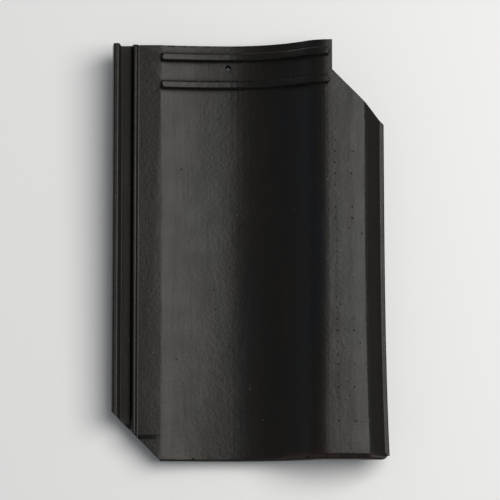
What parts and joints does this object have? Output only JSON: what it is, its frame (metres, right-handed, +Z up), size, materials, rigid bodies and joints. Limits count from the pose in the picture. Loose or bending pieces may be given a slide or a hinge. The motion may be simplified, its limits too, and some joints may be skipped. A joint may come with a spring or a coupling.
{
  "type": "clay roof tile",
  "caption": "Interlocking clay pantile: a wide pan, a raised roll that covers the next tile's side lock, a tail lip, head ribs and nibs that hook over a batten.",
  "frame": {"origin": "centre of the footprint, on the floor that the tile lies on", "axes": "+Y up the slope from tail to head, +X across towards the roll, +Z up"},
  "size_m": [0.255, 0.386, 0.0713],
  "materials": {
    "engobed_clay": "satin near-black engobe on fired clay"
  },
  "bodies": {
    "root": {"roof_tile": "engobed_clay"}
  },
  "joints": []
}
